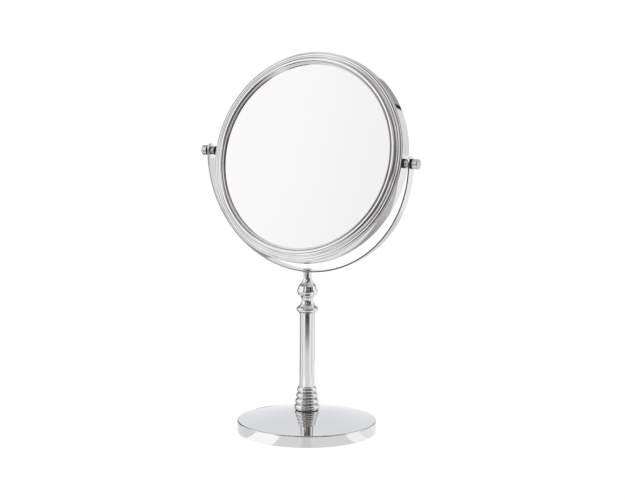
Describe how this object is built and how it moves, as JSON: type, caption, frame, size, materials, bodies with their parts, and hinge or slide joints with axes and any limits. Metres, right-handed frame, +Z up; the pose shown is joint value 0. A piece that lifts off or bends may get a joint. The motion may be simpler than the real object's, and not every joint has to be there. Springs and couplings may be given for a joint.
{
  "type": "countertop mirror",
  "caption": "Round tilting countertop mirror: polished ringed drum with a plain and a magnifying face, held in a half-hoop yoke on a turned column and weighted disc base.",
  "frame": {"origin": "centre of the foot pad's underside, on the stem axis", "axes": "+Z up along the stem; X along the head's pivot axis, +X to the viewer's right; the plain glass faces -Y and leans back"},
  "size_m": [0.2346, 0.1336, 0.3625],
  "materials": {
    "chrome": "polished, mirror bright",
    "glass_plain": "flat silvered glass",
    "glass_magnify": "concave silvered glass",
    "black_rubber": "matte black",
    "foot_foam": "fine-grained foam",
    "dark_plastic": "moulded, matte",
    "iron": "raw casting",
    "steel": "zinc plated",
    "satin_metal": "turned, satin",
    "brass": "machined"
  },
  "bodies": {
    "stand": {"base_pad": "foot_foam", "base_shell": "chrome", "base_weight": "iron", "base_washer": "steel", "base_nut": "steel", "tie_rod": "steel", "collar_gasket": "black_rubber", "beehive_collar": "chrome", "column_tube": "chrome", "bush_lower": "dark_plastic", "bush_upper": "dark_plastic", "column_flange": "chrome", "finial_bulb": "chrome", "yoke_saddle": "chrome", "yoke": "chrome", "yoke_screw": "steel"},
    "head": {"drum_band": "chrome", "front_bezel": "chrome", "rear_bezel": "chrome", "front_glass": "glass_plain", "rear_glass": "glass_magnify", "core_ring": "dark_plastic", "front_pad": "foot_foam", "rear_pad": "foot_foam", "pivot_insert_left": "brass", "inner_washer_left": "black_rubber", "boss_collar_left": "satin_metal", "pivot_insert_right": "brass", "inner_washer_right": "black_rubber", "boss_collar_right": "satin_metal"},
    "washer_left": {"outer_washer_left": "black_rubber"},
    "knob_left": {"knob_left": "chrome", "pivot_screw_left": "steel"},
    "washer_right": {"outer_washer_right": "black_rubber"},
    "knob_right": {"knob_right": "chrome", "pivot_screw_right": "steel"}
  },
  "joints": [
    {"name": "head_tilt", "type": "hinge", "parent": "stand", "child": "head", "pos_m": [0, 0, 0.265], "axis": [1, 0, 0], "continuous": true},
    {"name": "knob_left_back_off", "type": "slide", "parent": "head", "child": "washer_left", "axis": [-1, 0, 0], "range_m": [0, 0.0014]},
    {"name": "knob_left_turn", "type": "hinge", "parent": "washer_left", "child": "knob_left", "pos_m": [-0.11, 0, 0.265], "axis": [-1, 0, 0], "range_deg": [0, 720]},
    {"name": "knob_right_back_off", "type": "slide", "parent": "head", "child": "washer_right", "axis": [1, 0, 0], "range_m": [0, 0.0014]},
    {"name": "knob_right_turn", "type": "hinge", "parent": "washer_right", "child": "knob_right", "pos_m": [0.11, 0, 0.265], "axis": [1, 0, 0], "range_deg": [0, 720]}
  ],
  "couplings": [
    {"joint": "knob_left_turn", "follows": "knob_left_back_off", "rad_per_m": 8976},
    {"joint": "knob_right_turn", "follows": "knob_right_back_off", "rad_per_m": 8976}
  ]
}
